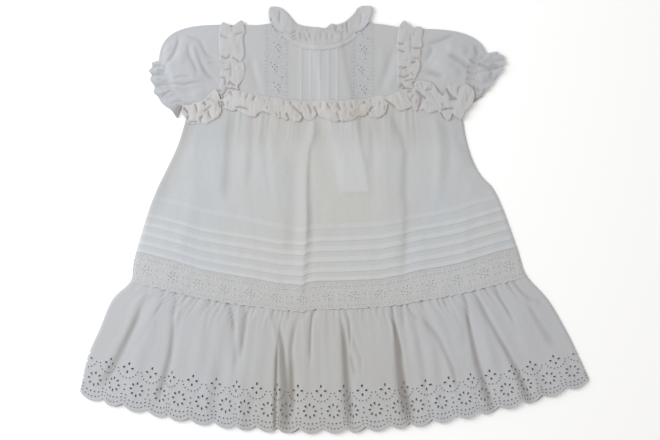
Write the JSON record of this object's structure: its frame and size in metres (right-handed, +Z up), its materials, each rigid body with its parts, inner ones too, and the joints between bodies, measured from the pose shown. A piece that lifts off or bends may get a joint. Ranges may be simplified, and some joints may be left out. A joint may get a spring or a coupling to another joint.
{
  "type": "toddler dress",
  "caption": "Toddler's white cotton dress laid flat, with a tucked yoke, puff sleeves, ruffles, a tucked skirt, lace insertion and a scalloped cutwork flounce.",
  "frame": {"origin": "centre of the dress's bounding box on the surface that it lies on", "axes": "+X across the dress, +Y from the hem to the neck, +Z up from the surface, the dress's front facing +Z"},
  "size_m": [0.6126, 0.514, 0.0139],
  "materials": {
    "white_cotton": "matte plain-weave cotton lawn",
    "lace": "matte eyelet lace insertion",
    "cream_cotton": "matte plain-weave cotton, slightly warm",
    "pearl": "satin shirt button"
  },
  "bodies": {
    "root": {"skirt_front": "white_cotton", "skirt_back": "white_cotton", "lace_band_front": "lace", "lace_band_back": "lace", "flounce_front": "white_cotton", "flounce_back": "white_cotton", "yoke_centre": "white_cotton", "yoke_lace_left": "lace", "yoke_lace_right": "lace", "yoke_side_left": "white_cotton", "yoke_side_right": "white_cotton", "yoke_back_left": "white_cotton", "yoke_back_right": "white_cotton", "placket_facing": "white_cotton", "back_button_1": "pearl", "back_button_2": "pearl", "back_button_3": "pearl", "neck_binding": "white_cotton", "neck_frill_front": "cream_cotton", "neck_frill_back_left": "cream_cotton", "neck_frill_back_right": "cream_cotton", "ruffle_yoke": "cream_cotton", "ruffle_shoulder_left": "cream_cotton", "ruffle_shoulder_right": "cream_cotton", "ruffle_underarm_left": "cream_cotton", "ruffle_underarm_right": "cream_cotton", "sleeve_left": "white_cotton", "sleeve_right": "white_cotton", "cuff_frill_left": "cream_cotton", "cuff_frill_right": "cream_cotton"}
  },
  "joints": []
}
